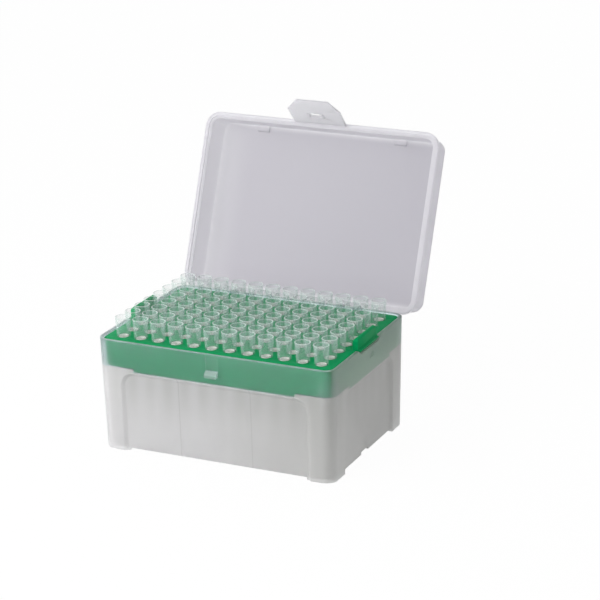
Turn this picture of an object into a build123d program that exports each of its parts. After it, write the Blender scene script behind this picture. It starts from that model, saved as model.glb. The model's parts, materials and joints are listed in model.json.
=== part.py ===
from build123d import *
import math
import os

os.makedirs("parts", exist_ok=True)

# Axes: origin on the table under the middle of the box, X along the long side,
# the latch on -Y, the hinges on +Y, +Z up. All sizes in mm.

# Grid of tips
pitch = 9.0
columns = 12
rows = 8
columns_per_node = 1
rows_per_node = 4

# Base box
rim_half_length = 58.8
rim_half_width = 41.0
box_height = 53.2
draft_inset = 1.0
rim_corner = 5.5
wall = 1.6
floor_thick = 1.5
foot_height = 1.2
foot_start_x = 44.7
foot_start_y = 26.5
centre_pad_radius = 8.0
side_nick_from = -6.7
side_nick_to = 1.0
side_nick_height = 1.3

# Recessed panels on the four walls
panel_recess = 1.1
panel_slope = 1.6
panel_drop = 14.6
panel_corner = 5.0
front_panel_half = 45.4
side_panel_half = 25.4

# Ribs inside the long walls that carry the tray
rib_x = 18.0
rib_thick = 0.6
rib_depth = 0.8

# Notches in the end walls for the tray's grips
notch_depth = 2.2
notch_half = 9.45
notch_flare = 2.85

# Shallow pocket outside each end wall, behind which the tray's skirt clips in
snap_from = 0.0
snap_to = 4.0
snap_drop = 5.0
snap_height = 2.3
snap_depth = 0.45

# Catch for the latch, and the shallow channel above it
catch_half = 2.8
catch_top_drop = 7.6
catch_height = 2.7
catch_out = 2.46
catch_chamfer = 1.4
channel_half = 3.15
channel_depth = 0.5

# Hinges
hinge_positions = (-30.0, 30.0)
hinge_out = 3.21
hinge_drop = 3.0
pin_radius = 1.5
pin_clearance = 0.05
ring_wall = 1.15
ring_width = 8.0
ring_slot = 2.4
ear_thick = 2.0
ear_radius = 1.9
ear_gap = 0.2
ear_gusset = 6.0

# Tray
tray_clearance = 0.25
deck_drop = 0.5
deck_thick = 1.6
hole_diameter = 5.6
tray_skirt_thick = 1.4
tray_skirt_drop = 14.2
tray_corner_drop = 12.6
tray_step_x = 40.3
tray_step_y = 22.4
grip_half = 10.5
grip_inner = 3.8
grip_rise = 5.0
grip_round = 1.2
grip_lip = 0.2
grip_end_gap = 0.15
grip_lid_gap = 0.3

# Tips
tip_length = 50.5
tip_rise = 8.7
mouth_diameter = 7.4
barrel_foot_diameter = 6.1
ledge_thick = 0.4
tip_hole_clearance = 0.1
mid_diameter = 4.3
mid_drop = 24.0
neck_diameter = 2.1
neck_drop = 33.0
point_diameter = 0.9
point_bore = 0.4
tip_wall = 0.45

# Lid
lid_overhang = 1.9
lid_reach = 0.9
lid_skirt_thick = 1.5
seat_gap = 0.1
seat_thick = 1.3
seat_width = 1.1
lid_wall = 1.25
lid_height = 16.0
lid_draft = 0.15
lid_edge_round = 2.0
lid_corner = 7.2
lid_open_angle = 112.5
boss_x = 36.1
boss_width = 6.0
boss_reach = 3.0
boss_size = 1.4

# Latch tab
latch_thick = 1.1
latch_gap = 0.25
latch_root_half = 13.2
latch_bend_half = 13.4
latch_tip_half = 8.2
latch_length = 10.9
finger_length = 5.7
finger_angle = 18.0
latch_open_angle = 24.6
window_half = 3.2
window_clearance = 0.25
window_lip_width = 1.1
window_lip_height = 0.5
latch_corner = 1.4

# Heights and outlines that follow from the sizes above
deck_top = box_height - deck_drop
notch_floor = box_height - notch_depth
tray_skirt_foot = box_height - tray_skirt_drop
inner_half_length = rim_half_length - wall
inner_half_width = rim_half_width - wall
tray_half_length = inner_half_length - tray_clearance
tray_half_width = inner_half_width - tray_clearance
lid_half_length = rim_half_length + lid_overhang
lid_half_width = rim_half_width + lid_overhang
lid_foot = box_height - lid_reach
lid_seat = box_height + seat_gap
lid_inner_length = rim_half_length - seat_width
lid_inner_width = rim_half_width - seat_width
lid_top = lid_foot + lid_height
hinge_y = rim_half_width + hinge_out
hinge_z = box_height - hinge_drop
hinge_axis = Axis((0, hinge_y, hinge_z), (1, 0, 0))
latch_y = -(lid_half_width - latch_thick / 2 - 0.15)
latch_z = lid_foot - latch_gap - latch_thick / 2
latch_axis = Axis((0, latch_y, latch_z), (1, 0, 0))
catch_top = box_height - catch_top_drop
catch_foot = catch_top - catch_height


def wall_inset(z):
    """How far the drafted walls stand inside the rim outline at height z."""
    return draft_inset * (1 - z / box_height)


def rounded_section(half_x, half_y, radius, z):
    section = RectangleRounded(2 * half_x, 2 * half_y, radius)
    return Pos(0, 0, z) * section


def drafted_block(inset, z_low, z_high):
    """The box's outer shape, moved inward by inset, between two heights."""
    radius = max(rim_corner - inset, 1.0)
    sections = []
    for z in (z_low, z_high):
        pull = inset + wall_inset(z)
        half_x = rim_half_length - pull
        half_y = rim_half_width - pull
        sections.append(rounded_section(half_x, half_y, radius, z))
    return loft(sections, ruled=True)


def straight_block(half_x, half_y, radius, z_low, z_high):
    section = rounded_section(half_x, half_y, radius, z_low)
    return extrude(section, amount=z_high - z_low)


def wall_plane(side):
    """Plane on a drafted wall: local y up the wall from the rim, z outward."""
    lean = math.atan2(draft_inset, box_height)
    out = math.cos(lean)
    down = -math.sin(lean)
    places = {
        "front": ((0, -rim_half_width, box_height), (1, 0, 0), (0, -out, down)),
        "rear": ((0, rim_half_width, box_height), (-1, 0, 0), (0, out, down)),
        "right": ((rim_half_length, 0, box_height), (0, 1, 0), (out, 0, down)),
        "left": ((-rim_half_length, 0, box_height), (0, -1, 0), (-out, 0, down)),
    }
    origin, across, normal = places[side]
    return Plane(origin=origin, x_dir=across, z_dir=normal)


def panel_section(plane, half, reach, depth):
    """Outline of a panel at a depth from the wall; reach widens it."""
    top = -panel_drop - panel_slope + reach
    foot = -box_height - 6
    radius = panel_corner + reach
    outline = Polyline(
        (-half - reach, foot),
        (-half - reach, top),
        (half + reach, top),
        (half + reach, foot),
        close=True,
    )
    face = make_face(outline)
    high = face.vertices().sort_by(Axis.Y)[-2:]
    rounded = fillet(high, radius)
    return plane.offset(depth) * rounded


def panel_prism(side, half, shift, grow):
    """Tapered plug of a panel, moved inward by shift and widened by grow."""
    plane = wall_plane(side)
    rate = panel_slope / panel_recess
    outer_depth = panel_recess
    inner_depth = -panel_recess - 0.6
    sections = []
    for depth in (inner_depth, outer_depth):
        reach = rate * (depth + panel_recess) + grow
        sections.append(panel_section(plane, half, reach, depth - shift))
    return loft(sections, ruled=True)


def all_panels(shift, grow):
    plugs = []
    for side in ("front", "rear"):
        plugs.append(panel_prism(side, front_panel_half, shift, grow))
    for side in ("right", "left"):
        plugs.append(panel_prism(side, side_panel_half, shift, grow))
    return plugs


def base_shell():
    """Drafted box with the panels pressed in at an even wall thickness."""
    outer = drafted_block(0, 0, box_height)
    outer_core = drafted_block(panel_recess, -8, box_height + 4)
    for plug in all_panels(0, 0):
        outer -= plug - outer_core
    slope_angle = math.atan2(panel_recess, panel_slope)
    grow = wall * math.tan(slope_angle / 2)
    cavity = drafted_block(wall, foot_height + floor_thick, box_height + 1)
    inner_core = drafted_block(panel_recess + wall, -8, box_height + 4)
    for plug in all_panels(wall, grow):
        cavity -= plug - inner_core
    return outer - cavity


def foot_relief():
    """Space under the floor that leaves a foot only at each corner."""
    under = drafted_block(wall + panel_recess, -2, foot_height)
    long_gap = Pos(0, 0, foot_height / 2 - 1) * Box(
        2 * foot_start_x, 4 * rim_half_width, foot_height + 2
    )
    short_gap = Pos(0, 0, foot_height / 2 - 1) * Box(
        4 * rim_half_length, 2 * foot_start_y, foot_height + 2
    )
    return under + long_gap + short_gap


def centre_pad():
    """Round pad under the middle of the floor, level with the feet."""
    height = foot_height + floor_thick / 2
    return Pos(0, 0, height / 2) * Cylinder(centre_pad_radius, height)


def side_nicks():
    """Small nick in the lower edge of each end wall."""
    middle = (side_nick_from + side_nick_to) / 2
    width = side_nick_to - side_nick_from
    depth = draft_inset + panel_recess + wall
    nicks = []
    for side in (-1, 1):
        x = side * (rim_half_length - depth / 2)
        nick = Box(depth, width, side_nick_height)
        nicks.append(Pos(x, middle, foot_height + side_nick_height / 2) * nick)
    return nicks


def grip_notches():
    """Flared notch in the rim of each end wall."""
    outline = Polyline(
        (-notch_half, notch_floor),
        (notch_half, notch_floor),
        (notch_half + 2 * notch_flare, notch_floor + 2 * notch_depth),
        (-notch_half - 2 * notch_flare, notch_floor + 2 * notch_depth),
        close=True,
    )
    across = extrude(Plane.YZ * make_face(outline), amount=rim_half_length, both=True)
    keep = Box(2 * (inner_half_length - 2), 200, 200)
    return across - keep


def tray_ribs():
    """Upright ribs on the long walls that the tray's skirt stands on."""
    low = foot_height + floor_thick - 0.2
    high = tray_skirt_foot
    face_y = inner_half_width - panel_recess - draft_inset
    depth = rib_depth + wall + draft_inset
    y = face_y - rib_depth + depth / 2
    ribs = []
    for x in (-rib_x, rib_x):
        for side in (-1, 1):
            rib = Box(rib_thick, depth, high - low)
            ribs.append(Pos(x, side * y, (low + high) / 2) * rib)
    return ribs


def catch_block():
    """Wedge on the front wall that the latch hooks under."""
    face_y = rim_half_width - wall_inset(catch_foot)
    tip_y = face_y + catch_out
    outline = Polyline(
        (-face_y + 0.8, catch_top),
        (-face_y - catch_out + catch_chamfer, catch_top),
        (-tip_y, catch_top - catch_chamfer),
        (-tip_y, catch_foot),
        (-face_y + 0.8, catch_foot),
        close=True,
    )
    return extrude(Plane.YZ * make_face(outline), amount=catch_half, both=True)


def front_channel():
    """Shallow lead-in from the rim down to the catch."""
    plane = wall_plane("front")
    height = catch_top_drop + 2
    channel = Box(2 * channel_half, height, 2 * channel_depth)
    return plane * Pos(0, 2 - height / 2, 0) * channel


def snap_pockets():
    """Shallow rectangular pocket in the outer face of each end wall."""
    pockets = []
    for side, turn in (("right", 1), ("left", -1)):
        middle = turn * (snap_from + snap_to) / 2
        block = Box(snap_to - snap_from, snap_height, 2 * snap_depth)
        place = Pos(middle, -snap_drop - snap_height / 2, 0)
        pockets.append(wall_plane(side) * place * block)
    return pockets


def hinge_ears(x):
    """Two ears on the rear wall with the pin between them."""
    wall_y = rim_half_width - 1.2
    outline = Polyline(
        (wall_y, hinge_z + 0.8),
        (hinge_y - 1.0, hinge_z + 1.4),
        (hinge_y, hinge_z),
        (hinge_y - 0.6, hinge_z - 1.7),
        (wall_y, hinge_z - ear_gusset),
        close=True,
    )
    web = Plane.YZ * make_face(outline)
    round_end = Plane.YZ * (Pos(hinge_y, hinge_z) * Circle(ear_radius))
    profile = web + round_end
    inner = ring_width / 2 + ear_gap
    group = []
    for side in (-1, 1):
        ear = extrude(profile, amount=ear_thick / 2, both=True)
        group.append(Pos(x + side * (inner + ear_thick / 2), 0, 0) * ear)
    pin_half = inner + ear_thick / 2
    pin = Plane.YZ * (Pos(hinge_y, hinge_z) * Circle(pin_radius))
    group.append(Pos(x, 0, 0) * extrude(pin, amount=pin_half, both=True))
    return group


def make_base():
    base = base_shell() - foot_relief() + centre_pad()
    for nick in side_nicks():
        base -= nick
    base -= grip_notches()
    base -= front_channel()
    for pocket in snap_pockets():
        base -= pocket
    base += catch_block()
    for x in hinge_positions:
        for piece in hinge_ears(x):
            base += piece
    behind_panels = drafted_block(panel_recess + wall / 2, foot_height, box_height)
    for rib in tray_ribs():
        base += rib & behind_panels
    return base


def tip_places():
    places = []
    for column in range(columns):
        x = (column - (columns - 1) / 2) * pitch
        for row in range(rows):
            y = (row - (rows - 1) / 2) * pitch
            places.append((x, y))
    return places


def grip(side):
    """Finger bar at one end, standing in the notch of the rim."""
    inner_x = rim_half_length - grip_inner
    lid_x = lid_inner_length - grip_lid_gap
    out_x = rim_half_length - grip_lip
    top = box_height + grip_rise
    low = notch_floor
    outline = Polyline(
        (inner_x, low + 0.2),
        (inner_x, top - 0.9),
        (inner_x + 0.9, top),
        (lid_x - 0.7, top),
        (lid_x, top - 0.7),
        (lid_x, box_height + 0.05),
        (out_x, box_height - 0.35),
        (out_x, box_height - 0.8),
        (out_x - 1.1, low),
        (inner_x + 0.4, low),
        close=True,
    )
    bar = extrude(Plane.XZ * make_face(outline), amount=grip_half, both=True)
    flare_rate = notch_flare / notch_depth
    low_half = notch_half - grip_end_gap
    edge_z = low + (grip_half - low_half) / flare_rate
    limit = Polyline(
        (-low_half, low - 1),
        (low_half, low - 1),
        (low_half, low),
        (grip_half, edge_z),
        (grip_half, top - grip_round),
        (grip_half - grip_round, top),
        (-grip_half + grip_round, top),
        (-grip_half, top - grip_round),
        (-grip_half, edge_z),
        (-low_half, low),
        close=True,
    )
    trim = extrude(Plane.YZ * make_face(limit), amount=200, both=True)
    bar = bar & trim
    if side < 0:
        bar = bar.mirror(Plane.YZ)
    return bar


def make_tray():
    inset = wall + tray_clearance
    body = drafted_block(inset, tray_skirt_foot, deck_top)
    inside = drafted_block(
        inset + tray_skirt_thick, tray_skirt_foot - 2, deck_top - deck_thick
    )
    tray = body - inside
    corner_height = tray_skirt_drop - tray_corner_drop
    far_x = rim_half_length + 5
    far_y = rim_half_width + 5
    for sx in (-1, 1):
        for sy in (-1, 1):
            block = Box(far_x - tray_step_x, far_y - tray_step_y, corner_height)
            x = sx * (far_x + tray_step_x) / 2
            y = sy * (far_y + tray_step_y) / 2
            z = tray_skirt_foot + corner_height / 2
            tray -= Pos(x, y, z) * block
    for side in (-1, 1):
        tray += grip(side)
    drills = []
    for x, y in tip_places():
        drill = Cylinder(hole_diameter / 2, 4 * deck_thick)
        drills.append(Pos(x, y, deck_top - deck_thick / 2) * drill)
    return tray - drills


def make_tip():
    top = box_height + tip_rise
    foot = top - tip_length
    stem = hole_diameter / 2 - tip_hole_clearance
    mid_z = deck_top - mid_drop
    neck_z = deck_top - neck_drop
    mouth = mouth_diameter / 2
    barrel_foot = barrel_foot_diameter / 2
    outline = Polyline(
        (mouth - 0.2, top),
        (mouth, top - 0.2),
        (mouth, top - 0.6),
        (barrel_foot, deck_top),
        (stem, deck_top),
        (mid_diameter / 2, mid_z),
        (neck_diameter / 2, neck_z),
        (point_diameter / 2, foot),
        (point_bore / 2, foot),
        (neck_diameter / 2 - tip_wall, neck_z),
        (mid_diameter / 2 - tip_wall, mid_z),
        (stem - tip_wall, deck_top + ledge_thick),
        (barrel_foot - tip_wall, deck_top + ledge_thick),
        (mouth - tip_wall, top),
        close=True,
    )
    return revolve(Plane.XZ * make_face(outline), Axis.Z)


def lid_ring(x):
    """Open ring that snaps on a pin, with its arm to the lid's skirt."""
    bore = pin_radius + pin_clearance
    outer = bore + ring_wall
    arm_top = lid_foot + 2.0
    arm = Polyline(
        (hinge_y - outer * 0.85, hinge_z + outer * 0.52),
        (lid_half_width - 0.7, lid_foot + 0.1),
        (lid_half_width - 0.7, arm_top),
        (lid_half_width + 0.9, arm_top),
        (hinge_y + outer * 0.8, hinge_z + outer * 0.6),
        (hinge_y, hinge_z),
        close=True,
    )
    ring = Plane.YZ * (Pos(hinge_y, hinge_z) * Circle(outer))
    profile = ring + Plane.YZ * make_face(arm)
    body = extrude(profile, amount=ring_width / 2, both=True)
    hole = Plane.YZ * (Pos(hinge_y, hinge_z) * Circle(bore))
    body -= extrude(hole, amount=ring_width, both=True)
    slot = Box(2 * ring_width, ring_slot, outer + 1)
    body -= Pos(0, hinge_y, hinge_z - (outer + 1) / 2) * slot
    return Pos(x, 0, 0) * body


def make_lid_closed():
    seat_top = lid_seat + seat_thick
    flange = straight_block(
        lid_half_length, lid_half_width, lid_corner, lid_foot, seat_top
    )
    flange = fillet(flange.faces().sort_by(Axis.Z)[-1].edges(), 0.4)
    out_x = lid_inner_length + lid_wall
    out_y = lid_inner_width + lid_wall
    low = rounded_section(out_x, out_y, rim_corner, seat_top - 0.6)
    high = rounded_section(out_x - lid_draft, out_y - lid_draft, rim_corner, lid_top)
    dome = loft([low, high], ruled=True)
    dome = fillet(dome.faces().sort_by(Axis.Z)[-1].edges(), lid_edge_round)
    in_low = rounded_section(
        lid_inner_length, lid_inner_width, rim_corner - lid_wall, lid_seat - 0.5
    )
    in_high = rounded_section(
        lid_inner_length - lid_draft,
        lid_inner_width - lid_draft,
        rim_corner - lid_wall,
        lid_top - lid_wall,
    )
    hollow = loft([in_low, in_high], ruled=True)
    inner_round = lid_edge_round - lid_wall + 0.2
    hollow = fillet(hollow.faces().sort_by(Axis.Z)[-1].edges(), inner_round)
    mouth = straight_block(
        lid_half_length - lid_skirt_thick,
        lid_half_width - lid_skirt_thick,
        lid_corner - lid_skirt_thick,
        lid_foot - 1,
        lid_seat,
    )
    lid = flange + dome - hollow - mouth
    boss_y = -(lid_inner_width - lid_draft - boss_reach / 2 + 0.2)
    boss_z = lid_top - lid_wall - boss_size / 2 + 0.2
    for x in (-boss_x, boss_x):
        boss = Box(boss_width, boss_reach + 0.4, boss_size + 0.4)
        boss = chamfer(boss.edges().filter_by(Axis.X).sort_by(Axis.Z)[0:2], 0.6)
        lid += Pos(x, boss_y, boss_z) * boss
    for x in hinge_positions:
        lid += lid_ring(x)
    return lid


def make_lid():
    return make_lid_closed().rotate(hinge_axis, -lid_open_angle)


def latch_plate(root_half, end_half, length, thick):
    """Tapering plate that hangs down from its root, in local XY then extruded."""
    outline = Polyline(
        (-root_half, 0),
        (-end_half, -length),
        (end_half, -length),
        (root_half, 0),
        close=True,
    )
    face = make_face(outline)
    return extrude(face, amount=thick / 2, both=True)


def make_latch_latched():
    """Latch hanging straight down with its window round the catch."""
    half = latch_thick / 2
    upper = latch_plate(latch_root_half, latch_bend_half, latch_length, latch_thick)
    finger = latch_plate(latch_bend_half, latch_tip_half, finger_length, latch_thick)
    corners = finger.edges().filter_by(Axis.Z).sort_by(Axis.Y)[:2]
    finger = fillet(corners, latch_corner)
    finger = Rot(-finger_angle, 0, 0) * finger
    finger = Pos(0, -latch_length, 0) * finger
    knuckle = Rot(0, 90, 0) * Cylinder(half, 2 * latch_root_half)
    bend = Rot(0, 90, 0) * Cylinder(half, 2 * latch_bend_half)
    tab = upper + finger + knuckle + Pos(0, -latch_length, 0) * bend
    high = latch_z - catch_top - window_clearance / 2
    low = latch_z - catch_foot + window_clearance
    window = Box(2 * window_half, low - high, 4 * latch_thick)
    window = fillet(window.edges().filter_by(Axis.Z), 0.8)
    lip_half = window_half + window_lip_width
    lip_span = low - high + window_lip_width
    lip = Box(2 * lip_half, lip_span, window_lip_height + 0.2)
    lip_edges = lip.edges().filter_by(Axis.Z)
    lip = fillet(lip_edges, 0.8)
    lip_y = -(low + high - window_lip_width) / 2
    lip_z = -(half + window_lip_height / 2 - 0.1)
    tab += Pos(0, lip_y, lip_z) * lip
    tab -= Pos(0, -(low + high) / 2, 0) * window
    plane = Plane(origin=(0, latch_y, latch_z), x_dir=(1, 0, 0), z_dir=(0, -1, 0))
    return plane * tab


def make_latch():
    tab = make_latch_latched().rotate(latch_axis, -latch_open_angle)
    return tab.rotate(hinge_axis, -lid_open_angle)


def write(shape, name):
    export_step(shape, "parts/" + name + ".step")


def write_tips():
    """One file for each run of tips in half a column."""
    tip = make_tip()
    letters = "abcdefgh"
    for column in range(columns):
        x = (column - (columns - 1) / 2) * pitch
        for start in range(0, rows, rows_per_node):
            group = []
            for row in range(start, start + rows_per_node):
                y = ((rows - 1) / 2 - row) * pitch
                group.append(Pos(x, y, 0) * tip)
            first = letters[start]
            last = letters[start + rows_per_node - 1]
            name = "tips_column_%02d_rows_%s_%s" % (column + 1, first, last)
            write(Compound(children=group), name)


write(make_base(), "base_box")
write(make_tray(), "tip_tray")
write(make_lid(), "lid")
write(make_latch(), "latch_tab")
write_tips()
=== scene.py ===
import bpy
import bmesh
import json
import math
from mathutils import Matrix, Vector


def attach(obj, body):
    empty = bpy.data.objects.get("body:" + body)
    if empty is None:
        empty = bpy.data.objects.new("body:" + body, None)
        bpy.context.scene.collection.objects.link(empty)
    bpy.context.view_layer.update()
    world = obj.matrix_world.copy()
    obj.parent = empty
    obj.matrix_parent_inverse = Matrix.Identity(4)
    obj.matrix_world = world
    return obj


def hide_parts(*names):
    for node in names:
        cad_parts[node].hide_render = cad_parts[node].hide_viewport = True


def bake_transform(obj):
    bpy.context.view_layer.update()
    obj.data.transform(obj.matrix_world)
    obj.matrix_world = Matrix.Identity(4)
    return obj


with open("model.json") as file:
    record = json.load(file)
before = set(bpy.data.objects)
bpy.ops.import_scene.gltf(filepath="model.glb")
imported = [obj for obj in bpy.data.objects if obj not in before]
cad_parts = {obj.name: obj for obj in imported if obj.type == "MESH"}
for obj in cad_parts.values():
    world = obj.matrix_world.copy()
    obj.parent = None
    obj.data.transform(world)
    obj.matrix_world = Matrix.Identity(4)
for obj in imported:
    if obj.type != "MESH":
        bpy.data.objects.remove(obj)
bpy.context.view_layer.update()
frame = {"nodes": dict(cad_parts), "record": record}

scene = bpy.context.scene
joints = {joint["name"]: joint for joint in frame["record"]["behaviour"]["joints"]}
shutAngle = math.radians(joints["lid_hinge"]["range_deg"][1])
lidPivot = Vector(joints["lid_hinge"]["pos_m"])
print("frame loaded")


def lidTurn(angle):
    # turns a point about the lid's hinge: shutAngle shuts the lid, its negative opens it
    turn = Matrix.Rotation(angle, 4, "X")
    return Matrix.Translation(lidPivot) @ turn @ Matrix.Translation(-lidPivot)


class Sock:
    # wraps an output socket so shader maths reads as plain expressions
    def __init__(self, tree, out):
        self.tree = tree
        self.out = out

    def maths(self, operation, other=None, swap=False):
        node = self.tree.nodes.new("ShaderNodeMath")
        node.operation = operation
        first, second = (other, self) if swap else (self, other)
        for slot, value in ((0, first), (1, second)):
            if isinstance(value, Sock):
                self.tree.links.new(value.out, node.inputs[slot])
            elif value is not None:
                node.inputs[slot].default_value = value
        return Sock(self.tree, node.outputs[0])

    def __add__(self, other): return self.maths("ADD", other)
    def __radd__(self, other): return self.maths("ADD", other, swap=True)
    def __sub__(self, other): return self.maths("SUBTRACT", other)
    def __rsub__(self, other): return self.maths("SUBTRACT", other, swap=True)
    def __mul__(self, other): return self.maths("MULTIPLY", other)
    def __rmul__(self, other): return self.maths("MULTIPLY", other, swap=True)
    def __truediv__(self, other): return self.maths("DIVIDE", other)
    def __rtruediv__(self, other): return self.maths("DIVIDE", other, swap=True)
    def __gt__(self, other): return self.maths("GREATER_THAN", other)
    def __lt__(self, other): return self.maths("LESS_THAN", other)
    def __abs__(self): return self.maths("ABSOLUTE")

    def clamped(self):
        return self.maths("MAXIMUM", 0.0).maths("MINIMUM", 1.0)


class NodeTree:
    # makes the nodes of a tree: settings first, then a value or a link for each input,
    # where i0 stands for the first input
    def __init__(self, tree):
        self.tree = tree
        self.tree.nodes.clear()

    def node(self, kind, settings=None, **values):
        made = self.tree.nodes.new(kind)
        for key, value in (settings or {}).items():
            setattr(made, key, value)
        for key, value in values.items():
            numbered = key[0] == "i" and key[1:].isdigit()
            slot = made.inputs[int(key[1:]) if numbered else key.replace("_", " ")]
            source = value.out if isinstance(value, Sock) else value
            if isinstance(source, bpy.types.NodeSocket):
                self.tree.links.new(source, slot)
            else:
                slot.default_value = source
        return made

    def sock(self, out):
        return Sock(self.tree, out)


class Finish(NodeTree):
    # the node tree of a material or of the world
    def __init__(self, owner):
        owner.use_nodes = True
        super().__init__(owner.node_tree)
        self.owner = owner
        self.coords = self.node("ShaderNodeTexCoord").outputs
        self.place = self.coords["Object"]

    def axes(self, vector=None):
        made = self.node("ShaderNodeSeparateXYZ", Vector=vector or self.place)
        return [self.sock(out) for out in made.outputs]

    def attribute(self, name):
        return self.sock(self.node("ShaderNodeAttribute", {"attribute_name": name}).outputs["Fac"])

    def noise(self, scale, detail=2.0, rough=0.5, where=None):
        made = self.node("ShaderNodeTexNoise", Vector=where or self.place,
                         Scale=scale, Detail=detail, Roughness=rough)
        return self.sock(made.outputs["Fac"])

    def placed(self, **settings):
        return self.node("ShaderNodeMapping", Vector=self.place, **settings).outputs["Vector"]

    def mixColour(self, factor, low, high):
        made = self.node("ShaderNodeMix", {"data_type": "RGBA"}, i0=factor, i6=low, i7=high)
        return made.outputs[2]

    def bump(self, height, strength, distance, **under):
        made = self.node("ShaderNodeBump", Height=height, Strength=strength, Distance=distance, **under)
        return made.outputs["Normal"]

    def plastic(self, **values):
        return self.node("ShaderNodeBsdfPrincipled", **values).outputs["BSDF"]

    def done(self, surface):
        self.node("ShaderNodeOutputMaterial", Surface=surface)
        return self.owner


frostValues = {
    "ior": 1.40,
    "milkIor": 1.45,
    "grain": 1400.0,
    "grainDetail": 3.0,
    "grainStrength": 0.35,
    "grainDepth": 0.00006,
    "grainRoughness": 0.05,
    "waviness": 45.0,
    "waveStrength": 0.12,
    "waveDepth": 0.0002,
    "cloud": 28.0,
    "cloudDetail": 3.0,
    "cloudRoughness": 0.05,
    "cloudMilk": 0.2,
    "edgeGloss": 0.12,
    "thickMilk": 0.50,
}
baseFrostValues = {
    **frostValues,
    "lowColour": (0.92, 0.915, 0.925, 1),
    "highColour": (0.95, 0.95, 0.935, 1),
    "skirtPaintedLightColour": (0.80, 0.96, 0.99, 1),
    "skirtPaintedShadeColour": (0.44, 0.60, 0.48, 1),
    "milkColour": (0.87, 0.865, 0.875, 1),
    "paintedShadeMilkColour": (0.73, 0.73, 0.72, 1),
    "skirtPaintedLightMilkColour": (0.60, 0.85, 0.88, 1),
    "edgeHighlightColour": (0.99, 0.99, 0.985, 1),
    "paintedShadeColour": (0.74, 0.74, 0.73, 1),
    "shadeX": 16.0,
    "shadeZ": 0.0,
    "shadeFrom": 0.10,
    "roughness": 0.25,
    "milk": 0.46,
    "edgeHighlightMilk": 1.6,
    "backedMilk": 0.06,
    "glow": 0.30,
    "glowColour": (0.84, 0.84, 0.84, 1),
    "rimPaintedHighlightColour": (0.84, 0.98, 0.88, 1),
    "ribColour": (0.55, 0.56, 0.53, 1),
    "tipShadeColour": (0.62, 0.63, 0.60, 1),
    "streakPitch": 0.009,
    "streakFoot": 0.012,
    "streakRise": 0.022,
    "streakUneven": (140.0, 140.0, 0.5),
    "streak": 0.35,
    "ribX": 0.018,
    "ribY": 0.0365,
    "ribWidth": 0.00045,
    "sideFrom": 0.0560,
    "sideFade": 0.0015,
    "trayFoot": 0.0390,
    "trayStep": 0.0016,
    "trayStepX": 0.0403,
    "trayStepY": 0.0224,
    "trayTop": 0.0540,
    "trayEnd": 0.0588,
    "trayEndFade": 0.0025,
}
lidFrostValues = {
    **frostValues,
    "lowColour": (0.56, 0.55, 0.59, 1),
    "highColour": (0.60, 0.59, 0.63, 1),
    "wallPaintedLightColour": (0.90, 0.89, 0.925, 1),
    "nearPaintedLightColour": (0.93, 0.925, 0.955, 1),
    "milkColour": (0.655, 0.635, 0.685, 1),
    "paintedShadeMilkColour": (0.62, 0.605, 0.655, 1),
    "nearPaintedLightMilkColour": (0.96, 0.945, 0.985, 1),
    "wallPaintedLightMilkColour": (0.92, 0.905, 0.95, 1),
    "lipMilkColour": (0.91, 0.90, 0.93, 1),
    "edgeHighlightColour": (0.97, 0.97, 0.98, 1),
    "paintedShadeColour": (0.46, 0.45, 0.49, 1),
    "shadeX": 8.0,
    "shadeZ": -3.5,
    "shadeFrom": 0.97,
    "plateX": 0.0575,
    "plateY": 0.0396,
    "wallFade": 0.003,
    "plateFade": 0.018,
    "plateZ": 0.0668,
    "wallX": 0.0570,
    "wallY": 0.0390,
    "cornerFade": 0.0008,
    "roughness": 0.27,
    "milk": 0.50,
    "edgeHighlightMilk": 1.3,
    "wallMilk": 0.42,
    "nearMilk": 0.38,
    "glow": 0.50,
    "glowColour": (0.68, 0.665, 0.71, 1),
}


# the latch has the lid's finish with lighter colours: painted light that makes it a little brighter than
# the lid
latchPaintedLightValues = dict(
    lidFrostValues,
    wallPaintedLightColour=(0.93, 0.925, 0.95, 1),
    glowColour=(0.77, 0.76, 0.79, 1),
)


def trayBehind(f, v):
    # 1 where the tray's skirt stands close behind the box wall, which looks less milky there; the wall's
    # colours there are painted green-blue, painted light standing in for the skirt showing through
    x, y, z = f.axes()
    corner = (abs(x) > v["trayStepX"]) * (abs(y) > v["trayStepY"])
    foot = v["trayFoot"] + corner * v["trayStep"]
    end = ((x + v["trayEnd"]) / v["trayEndFade"]).clamped()
    end = end.maths("MAXIMUM", abs(y) < v["ribY"])
    return (z > foot) * (z < v["trayTop"]) * end


def paintedTipShade(f, v):
    # painted shade: faint darker upright bands on the wall in front of the rows of tips behind it
    x, y, z = f.axes()
    uneven = f.noise(1.0, 1.0, 0.5, f.placed(Scale=v["streakUneven"]))
    band = ((x + y) * (2 * math.pi / v["streakPitch"])).maths("COSINE") * 0.5 + uneven
    fade = ((z - v["streakFoot"]) / v["streakRise"]).clamped()
    return (band * fade).clamped() * v["streak"]


def ribMark(f, v):
    # 1 along the thin line where a rib meets the long walls from inside
    x, y, z = f.axes()
    line = (1.0 - abs(abs(x) - v["ribX"]) / v["ribWidth"]).maths("MAXIMUM", 0.0)
    return line * (abs(y) > v["ribY"]) * (z < v["trayFoot"])


def closedSpot(f):
    # the shading point as it lies with the lid shut
    shift = lidTurn(shutAngle).translation
    return f.axes(f.placed(Location=shift, Rotation=(shutAngle, 0, 0)))


def lidPaintedLightZones(f, v):
    # two masks of painted light: the lid's side walls, and its plate rising to 1 towards the left wall
    # and the long walls
    x, y, z = closedSpot(f)
    rim = (abs(x) > v["wallX"]).maths("MAXIMUM", abs(y) > v["wallY"])
    wall = ((v["plateZ"] - z) / v["cornerFade"]).clamped() * rim
    across = (0.0 - x - (v["plateX"] - v["plateFade"])) / v["plateFade"]
    along = (abs(y) - (v["plateY"] - v["wallFade"])) / v["wallFade"]
    return wall, across.maths("MAXIMUM", along).clamped()


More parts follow.
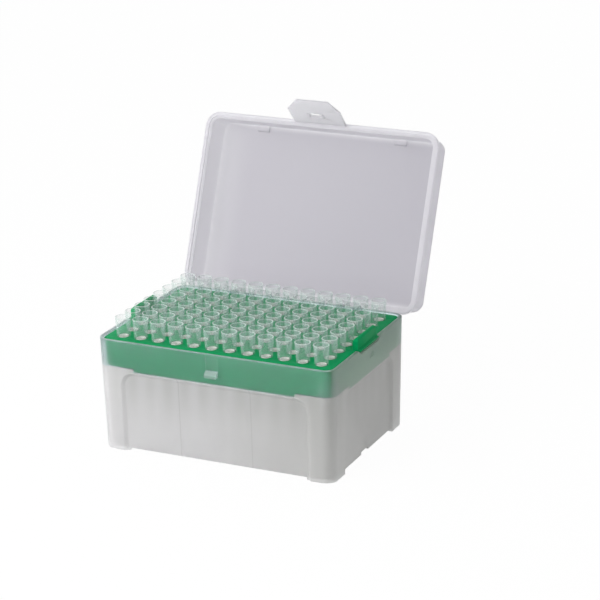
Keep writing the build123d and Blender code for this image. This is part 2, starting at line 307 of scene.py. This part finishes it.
def makeFrost(name, v):
    f = Finish(bpy.data.materials.new(name))
    cloud = f.noise(v["cloud"], v["cloudDetail"])
    grain = f.noise(v["grain"], v["grainDetail"], 0.6)
    wave = f.noise(v["waviness"], 1.0)
    edge, thick = f.attribute("roundEdge"), f.attribute("thickWall")
    x, y, z = f.axes()
    # painted shade: both finishes darken along the object, the base towards its right end and the open
    # lid towards its lower right, in place of light falling off
    shade = (x * v["shadeX"] + z * v["shadeZ"] + v["shadeFrom"]).clamped()
    colour = f.mixColour(cloud, v["lowColour"], v["highColour"])
    colour = f.mixColour(shade, colour, v["paintedShadeColour"])
    milkColour = f.mixColour(shade, v["milkColour"], v["paintedShadeMilkColour"])
    if "wallPaintedLightColour" in v:
        # the lid: its plate, its side walls and its thick lip; the side walls, and the plate towards the
        # left wall and the long walls, get lighter colours as painted light
        wallZone, near = lidPaintedLightZones(f, v)
        colour = f.mixColour(near * near, colour, v["nearPaintedLightColour"])
        colour = f.mixColour(wallZone, colour, v["wallPaintedLightColour"])
        milkColour = f.mixColour(near * near, milkColour, v["nearPaintedLightMilkColour"])
        milkColour = f.mixColour(wallZone, milkColour, v["wallPaintedLightMilkColour"])
        milkColour = f.mixColour(thick * thick, milkColour, v["lipMilkColour"])
        plain = v["milk"] + near * (v["nearMilk"] - v["milk"])
        plain = plain * (1.0 - wallZone) + wallZone * v["wallMilk"]
    else:
        # the base: the tray, the ribs and the tips behind its walls, with painted light where the tray
        # stands behind, and painted shade in bands in front of the tips and on the right end wall
        backed = trayBehind(f, v) * (1.0 - thick)
        # painted shade: over the tray, the right end wall gets a greyer, darker tint than the other walls
        side = ((x - v["sideFrom"]) / v["sideFade"]).clamped()
        behind = f.mixColour(side, v["skirtPaintedLightColour"], v["skirtPaintedShadeColour"])
        tipShadeBands = paintedTipShade(f, v) * (1.0 - backed)
        colour = f.mixColour(backed, colour, behind)
        colour = f.mixColour(ribMark(f, v), colour, v["ribColour"])
        colour = f.mixColour(tipShadeBands, colour, v["tipShadeColour"])
        milkColour = f.mixColour(tipShadeBands, milkColour, v["tipShadeColour"])
        milkColour = f.mixColour(backed, milkColour, v["skirtPaintedLightMilkColour"])
        # painted highlight: a pale green line along the rounded edges over the tray
        milkColour = f.mixColour(backed * edge, milkColour, v["rimPaintedHighlightColour"])
        plain = v["milk"] - backed * (v["milk"] - v["backedMilk"])
    # painted highlight: the rounded edges get a paler colour
    colour = f.mixColour(edge, colour, v["edgeHighlightColour"])
    roughness = v["roughness"] + cloud * v["cloudRoughness"] + grain * v["grainRoughness"]
    roughness = roughness - edge * v["edgeGloss"]
    normal = f.bump(wave, v["waveStrength"], v["waveDepth"])
    normal = f.bump(grain, v["grainStrength"], v["grainDepth"], Normal=normal)
    wall = f.plastic(Transmission_Weight=1.0, IOR=v["ior"],
                     Base_Color=colour, Roughness=roughness, Normal=normal)
    front = f.plastic(IOR=v["milkIor"], Base_Color=milkColour, Roughness=roughness, Normal=normal)
    through = f.node("ShaderNodeBsdfTranslucent", Color=v["glowColour"], Normal=normal).outputs[0]
    milk = f.node("ShaderNodeMixShader", i0=v["glow"], i1=front, i2=through).outputs[0]
    amount = (thick * v["thickMilk"]).maths("MAXIMUM", plain)
    amount = amount * (1.0 - v["cloudMilk"] / 2 + cloud * v["cloudMilk"])
    # painted highlight: the rounded edges get more milk, so they show paler
    amount = amount * (1.0 - edge * (1.0 - v["edgeHighlightMilk"]))
    return f.done(f.node("ShaderNodeMixShader", i0=amount, i1=wall, i2=milk).outputs[0])


greenValues = {
    "lowColour": (0.0005, 0.25, 0.075, 1),
    "highColour": (0.001, 0.31, 0.105, 1),
    "cloud": 35.0,
    "grain": 1600.0,
    "roughness": 0.30,
    "cloudRoughness": 0.10,
    "grainRoughness": 0.06,
    "grainStrength": 0.3,
    "grainDepth": 0.00005,
    "ior": 1.45,
    "shine": 0.04,
}


def makeGreen(name, v):
    f = Finish(bpy.data.materials.new(name))
    cloud = f.noise(v["cloud"], 3.0)
    grain = f.noise(v["grain"], 3.0, 0.6)
    colour = f.mixColour(cloud, v["lowColour"], v["highColour"])
    roughness = v["roughness"] + cloud * v["cloudRoughness"] + grain * v["grainRoughness"]
    normal = f.bump(grain, v["grainStrength"], v["grainDepth"])
    return f.done(f.plastic(IOR=v["ior"], Specular_IOR_Level=v["shine"],
                            Base_Color=colour, Roughness=roughness, Normal=normal))


clearValues = {
    "clearColour": (0.53, 0.66, 0.63, 1),
    "milkColour": (0.98, 0.97, 0.93, 1),
    "stemColour": (0.42, 0.43, 0.40, 1),
    "ior": 1.45,
    "roughness": 0.14,
    "hazeRoughness": 0.06,
    "wave": 260.0,
    "waveStrength": 0.2,
    "waveDepth": 0.0001,
    "haze": 90.0,
    "hazeAlpha": 0.03,
    "face": 0.075,
    "edge": 0.66,
    "milk": 0.85,
    "stem": 0.10,
    "stemTop": 0.0495,
}


def makeClear(name, v):
    f = Finish(bpy.data.materials.new(name))
    wave = f.noise(v["wave"])
    haze = f.noise(v["haze"])
    rim = f.sock(f.node("ShaderNodeLayerWeight", Blend=0.50).outputs["Facing"])
    milky = f.attribute("milky")
    stem = f.axes()[2] < v["stemTop"]
    colour = f.mixColour(milky, v["clearColour"], v["milkColour"])
    colour = f.mixColour(stem, colour, v["stemColour"])
    roughness = v["roughness"] + haze * v["hazeRoughness"]
    normal = f.bump(wave, v["waveStrength"], v["waveDepth"])
    alpha = v["face"] + rim * rim * rim * v["edge"] + milky * v["milk"]
    alpha = (alpha + stem * v["stem"] + haze * v["hazeAlpha"]).maths("MINIMUM", 1.0)
    return f.done(f.plastic(IOR=v["ior"], Base_Color=colour, Roughness=roughness,
                            Normal=normal, Alpha=alpha))


frostBase = makeFrost("frostedBase", baseFrostValues)
frostLid = makeFrost("frostedLid", lidFrostValues)
frostLatch = makeFrost("frostedLatch", latchPaintedLightValues)
greenTray = makeGreen("greenTray", greenValues)
clearTip = makeClear("clearTip", clearValues)
print("finishes made")


# moulded shells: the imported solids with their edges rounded
shellValues = {
    "mergeGap": 0.000002,
    "flatAngle": 0.25,
    "edgeAngle": 32.0,
    "edgeRadius": 0.00030,
    "segments": 2,
    "lidRim": 0.0547,
    "thickFade": 0.012,
    "blockY": 0.0414,
    "blockThick": 0.55,
    "footTop": 0.0016,
    "boxRadius": 0.00018,
    "latchRim": 1.0,
    "bevelShape": 0.5,
    "sharpAngle": 38.0,
}


def addPiece(name, mesh, body):
    piece = bpy.data.objects.new(name, mesh)
    scene.collection.objects.link(piece)
    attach(piece, body)
    return piece


def roundedShell(name, node, body, material, v, rimHeight=None, radius=None):
    # rimHeight is where the thick lip ends on the shut lid: above the whole latch, all of it is thick
    bm = bmesh.new()
    bm.from_mesh(frame["nodes"][node].data)
    rounded = bm.faces.layers.float.new("roundEdge")
    bmesh.ops.remove_doubles(bm, verts=bm.verts, dist=v["mergeGap"])
    flat = math.radians(v["flatAngle"])
    bmesh.ops.dissolve_limit(bm, angle_limit=flat, verts=bm.verts, edges=bm.edges)
    least = math.radians(v["edgeAngle"])
    corners = [e for e in bm.edges if e.is_manifold and e.calc_face_angle(0.0) > least]
    made = bmesh.ops.bevel(bm, geom=corners, offset=radius or v["edgeRadius"], segments=v["segments"],
                           profile=v["bevelShape"], affect="EDGES", clamp_overlap=True)
    for face in made["faces"]:
        face[rounded] = 1.0 if face.calc_center_median().z > v["footTop"] else 0.0
    bmesh.ops.triangulate(bm, faces=[f for f in bm.faces if len(f.verts) > 4])
    thick = bm.verts.layers.float.new("thickWall")
    shut = lidTurn(shutAngle)
    for vert in bm.verts:
        if rimHeight is not None:
            fall = ((shut @ vert.co).z - rimHeight) / v["thickFade"]
            vert[thick] = min(1.0, max(0.0, 1.0 - fall))
        elif vert.co.z < v["footTop"]:
            vert[thick] = 1.0
        elif abs(vert.co.y) > v["blockY"]:
            vert[thick] = v["blockThick"]
    mesh = bpy.data.meshes.new(name)
    bm.to_mesh(mesh)
    print(name, "open edges", sum(1 for e in bm.edges if not e.is_manifold), "faces", len(bm.faces))
    bm.free()
    mesh.polygons.foreach_set("use_smooth", [True] * len(mesh.polygons))
    mesh.set_sharp_from_angle(angle=math.radians(v["sharpAngle"]))
    mesh.materials.append(material)
    piece = addPiece(name, mesh, body)
    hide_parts(node)
    return piece


roundedShell("base_shell", "base_box", "box", frostBase, shellValues,
             radius=shellValues["boxRadius"])
roundedShell("lid_shell", "lid", "lid_body", frostLid, shellValues,
             rimHeight=shellValues["lidRim"])
roundedShell("latch_shell", "latch_tab", "latch_body", frostLatch, shellValues,
             rimHeight=shellValues["latchRim"])
roundedShell("tray_shell", "tip_tray", "box", greenTray, shellValues)


webValues = {
    "halfLength": 0.0130,
    "from": -0.04125,
    "to": -0.04195,
    "thickness": 0.0004,
    "steps": 6,
    "bendFrom": -0.0414,
    "bendTo": -0.04166,
}


def latchWeb(v):
    # the thin skin that joins the latch to the lid's lip
    # built on the shut lid, then opened with it
    opened = lidTurn(-shutAngle)
    height = (lidTurn(shutAngle) @ Vector(joints["latch_hinge"]["pos_m"])).z
    bm = bmesh.new()
    rings = []
    for step in range(v["steps"] + 1):
        y = v["from"] + (v["to"] - v["from"]) * step / v["steps"]
        rings.append([
            bm.verts.new((x * v["halfLength"], y, height + z * v["thickness"] / 2))
            for x, z in ((-1, -1), (1, -1), (1, 1), (-1, 1))
        ])
    for near, far in zip(rings, rings[1:]):
        for i in range(4):
            bm.faces.new((near[i], near[(i + 1) % 4], far[(i + 1) % 4], far[i]))
    bm.faces.new(rings[0])
    bm.faces.new(rings[-1])
    bmesh.ops.recalc_face_normals(bm, faces=bm.faces)
    for name in ("roundEdge", "thickWall"):
        layer = bm.verts.layers.float.new(name)
        for vert in bm.verts:
            vert[layer] = 1.0 if name == "thickWall" else 0.0
    mesh = bpy.data.meshes.new("latch_web")
    bm.to_mesh(mesh)
    bm.free()
    mesh.transform(opened)
    mesh.materials.append(frostLid)
    piece = bpy.data.objects.new("latch_web", mesh)
    scene.collection.objects.link(piece)
    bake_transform(piece)
    return piece


latchWeb(webValues)
print("shells made")


# tips: one turned profile, repeated on the tray's grid
tipValues = {
    "pitch": 0.009,
    "columns": 12,
    "rows": 8,
    "segments": 26,
    "mouthRadius": 0.0037,
    "footRadius": 0.00305,
    "stemRadius": 0.0027,
    "midRadius": 0.00215,
    "neckRadius": 0.00105,
    "pointRadius": 0.00045,
    "boreRadius": 0.0002,
    "wall": 0.00045,
    "ledge": 0.0004,
    "lip": 0.0002,
    "deckTop": 0.0527,
    "midDrop": 0.024,
    "neckDrop": 0.033,
    "top": 0.0619,
    "length": 0.0505,
    "tilt": 0.006,
    "turn": 3.0,
    "seed": 4,
    "lipMilk": 0.35,
    "stemMilk": 0.3,
    "paintedBoreLight": 1.1,
    "cornerStep": 0.0001,
}


def tipProfile(v):
    # radius, height and milkiness round the closed outline: outside from the mouth down, inside back up
    top, deck, wall, lip = v["top"], v["deckTop"], v["wall"], v["lip"]
    step, lipMilk, stemMilk, paintedBoreLight = v["cornerStep"], v["lipMilk"], v["stemMilk"], v["paintedBoreLight"]
    ledge = deck + v["ledge"]
    foot = top - v["length"]
    mouth, barrel, stem = v["mouthRadius"], v["footRadius"], v["stemRadius"]
    outside = [
        (mouth - 2.0 * lip, top, lipMilk),
        (mouth - 0.5 * lip, top - 0.3 * lip, lipMilk),
        (mouth, top - lip, 0.1),
        (mouth - step, top - 0.0006, 0.0),
        (barrel, deck + 0.0003, 0.0),
        (barrel - step, deck, 0.05),
        (stem, deck, 0.0),
        (stem - 0.00005, deck - 0.0030, 0.05),
        (v["midRadius"], deck - v["midDrop"], stemMilk),
        (v["neckRadius"], deck - v["neckDrop"], stemMilk),
        (v["pointRadius"], foot, stemMilk),
    ]
    inside = [
        (v["boreRadius"], foot, stemMilk),
        (v["neckRadius"] - wall, deck - v["neckDrop"], stemMilk),
        (v["midRadius"] - wall, deck - v["midDrop"], stemMilk),
        (stem - wall, deck - 0.0040, 0.4),
        # painted light: the inside of the bore at the deck is fully milky, a bright cream disc standing
        # in for light seen down the bore
        (stem - wall, deck - 0.0015, paintedBoreLight),
        (stem - wall, deck, paintedBoreLight),
        (stem - wall, deck + step, 0.1),
        (stem - wall, ledge, 0.1),
        (barrel - wall - step, ledge + step, 0.1),
        (barrel - wall, ledge + 4.0 * step, 0.0),
        (mouth - wall - step, top - 5.0 * step, 0.0),
        (mouth - wall, top - 0.0002, 0.25),
    ]
    return outside + inside


def turnedMesh(name, profile, segments):
    bm = bmesh.new()
    milky = bm.verts.layers.float.new("milky")
    rings = []
    for step in range(segments):
        angle = 2 * math.pi * step / segments
        ring = []
        for radius, height, amount in profile:
            vert = bm.verts.new((radius * math.cos(angle), radius * math.sin(angle), height))
            vert[milky] = amount
            ring.append(vert)
        rings.append(ring)
    for step in range(segments):
        near, far = rings[step], rings[(step + 1) % segments]
        for i in range(len(profile)):
            j = (i + 1) % len(profile)
            bm.faces.new((near[i], near[j], far[j], far[i]))
    bmesh.ops.recalc_face_normals(bm, faces=bm.faces)
    mesh = bpy.data.meshes.new(name)
    bm.to_mesh(mesh)
    bm.free()
    mesh.polygons.foreach_set("use_smooth", [True] * len(mesh.polygons))
    return mesh


def gridTree(name, v, material):
    # one instance at each point of a grid, each leaning a little and turned at random
    tree = bpy.data.node_groups.new(name, "GeometryNodeTree")
    face = tree.interface
    face.new_socket("Geometry", in_out="INPUT", socket_type="NodeSocketGeometry")
    keys = {}
    for label, kind in (
        ("Pitch", "Float"), ("Columns", "Int"), ("Rows", "Int"), ("Tilt", "Float"), ("Seed", "Int"),
    ):
        made = face.new_socket(label, in_out="INPUT", socket_type="NodeSocket" + kind)
        keys[label] = made.identifier
    face.new_socket("Geometry", in_out="OUTPUT", socket_type="NodeSocketGeometry")
    g = NodeTree(tree)
    start = g.node("NodeGroupInput").outputs
    pitch, columns, rows, tilt = (g.sock(start[key]) for key in ("Pitch", "Columns", "Rows", "Tilt"))
    grid = g.node("GeometryNodeMeshGrid", Vertices_X=columns, Vertices_Y=rows,
                  Size_X=pitch * (columns - 1), Size_Y=pitch * (rows - 1))
    most = g.node("ShaderNodeCombineXYZ", X=tilt, Y=tilt, Z=v["turn"]).outputs[0]
    least = g.node("ShaderNodeVectorMath", {"operation": "SCALE"}, i0=most, Scale=-1).outputs[0]
    lean = g.node("FunctionNodeRandomValue", {"data_type": "FLOAT_VECTOR"},
                  i0=least, i1=most, Seed=start["Seed"])
    put = g.node("GeometryNodeInstanceOnPoints", Points=grid.outputs["Mesh"],
                 Instance=start["Geometry"], Rotation=lean.outputs[0])
    real = g.node("GeometryNodeRealizeInstances", Geometry=put.outputs[0])
    paint = g.node("GeometryNodeSetMaterial", Geometry=real.outputs[0], Material=material)
    g.node("NodeGroupOutput", Geometry=paint.outputs[0])
    return tree, keys


def grown(source, tree, keys, values):
    # applies a node tree to a mesh and returns the plain result
    holder = bpy.data.objects.new("holder", source)
    scene.collection.objects.link(holder)
    modifier = holder.modifiers.new("grid", "NODES")
    modifier.node_group = tree
    for label, value in values.items():
        modifier[keys[label]] = value
    bpy.context.view_layer.update()
    seen = holder.evaluated_get(bpy.context.evaluated_depsgraph_get())
    mesh = bpy.data.meshes.new_from_object(seen)
    holder.modifiers.clear()
    bpy.data.objects.remove(holder)
    return mesh


def makeTips(v):
    # the tip is turned about its seat on the deck, so a lean turns it there
    profile = [(r, z - v["deckTop"], milk) for r, z, milk in tipProfile(v)]
    one = turnedMesh("tip", profile, v["segments"])
    tree, keys = gridTree("tipGrid", v, clearTip)
    mesh = grown(one, tree, keys, {
        "Pitch": v["pitch"], "Columns": v["columns"], "Rows": v["rows"],
        "Tilt": v["tilt"], "Seed": v["seed"],
    })
    mesh.transform(Matrix.Translation((0, 0, v["deckTop"])))
    piece = addPiece("tips", mesh, "box")
    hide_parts(*[n for n in frame["nodes"] if n.startswith("tips_")])
    return piece


tips = makeTips(tipValues)
print("tips made", len(tips.data.polygons))


stageValues = {
    "floorSize": 4.0,
    "floorColour": (0.88, 0.88, 0.88, 1),
    "worldColour": (1.0, 1.0, 1.0, 1),
    "worldStrength": 0.80,
    "worldLean": 0.40,
    "keyPlace": (-0.32, -0.50, 0.34),
    "keySize": 0.6,
    "keyPower": 3.2,
    "eye": (0.45478, -0.89699, 0.41458),
    "aim": (0.0245863, 0.0, 0.0690402),
    "roll": -1.321,
    "lens": 140.162,
    "sensor": 36.0,
    "clipStart": 0.01,
    "floorRoughness": 0.9,
    "floorShine": 0.1,
    "floorGlow": 0.97,
    "keyAim": (0, 0, 0.05),
    "bounces": {"max": 16, "transmission": 16, "glossy": 16, "diffuse": 12},
    "clearBounces": 64,
}


def backgroundRays(f):
    # 1 for the rays that see the plain backdrop instead of the light it gives
    path = f.node("ShaderNodeLightPath").outputs
    camera, through, shine = (f.sock(path["Is %s Ray" % k]) for k in ("Camera", "Transmission", "Glossy"))
    return (camera + through + shine).maths("MINIMUM", 1.0)


def makeStage(v):
    scene.world = bpy.data.worlds.new("studio")
    f = Finish(scene.world)
    across = f.axes(f.coords["Generated"])[0]
    soft = v["worldStrength"] - across * v["worldLean"]
    strength = soft + backgroundRays(f) * (1.0 - soft)
    back = f.node("ShaderNodeBackground", Color=v["worldColour"], Strength=strength)
    f.node("ShaderNodeOutputWorld", Surface=back.outputs[0])

    f = Finish(bpy.data.materials.new("paleFloor"))
    paper = f.plastic(Specular_IOR_Level=v["floorShine"], Base_Color=v["floorColour"],
                      Roughness=v["floorRoughness"])
    glow = f.node("ShaderNodeEmission", Color=(1, 1, 1, 1), Strength=1.0).outputs[0]
    paleFloor = f.done(f.node("ShaderNodeMixShader", i0=backgroundRays(f) * v["floorGlow"],
                              i1=paper, i2=glow).outputs[0])
    half = v["floorSize"] / 2
    mesh = bpy.data.meshes.new("floor")
    corners = [(-half, -half, 0), (half, -half, 0), (half, half, 0), (-half, half, 0)]
    mesh.from_pydata(corners, [], [(0, 1, 2, 3)])
    mesh.materials.append(paleFloor)
    floor = bpy.data.objects.new("floor", mesh)
    scene.collection.objects.link(floor)

    data = bpy.data.lights.new("key", "AREA")
    data.shape = "DISK"
    data.size = v["keySize"]
    data.energy = v["keyPower"]
    key = bpy.data.objects.new("key", data)
    scene.collection.objects.link(key)
    key.location = v["keyPlace"]
    key.rotation_euler = (Vector(v["keyAim"]) - key.location).to_track_quat("-Z", "Y").to_euler()

    eye, aim = Vector(v["eye"]), Vector(v["aim"])
    turn = (aim - eye).to_track_quat("-Z", "Y").to_matrix().to_4x4()
    turn = turn @ Matrix.Rotation(math.radians(v["roll"]), 4, "Z")
    lens = bpy.data.cameras.new("camera")
    lens.lens = v["lens"]
    lens.sensor_width = v["sensor"]
    lens.clip_start = v["clipStart"]
    camera = bpy.data.objects.new("camera", lens)
    camera.matrix_world = Matrix.Translation(eye) @ turn
    scene.collection.objects.link(camera)
    scene.camera = camera
    scene.view_settings.view_transform = "Standard"
    for kind, count in v["bounces"].items():
        setattr(scene.cycles, kind + "_bounces", count)
    scene.cycles.transparent_max_bounces = v["clearBounces"]


makeStage(stageValues)
print("stage made")
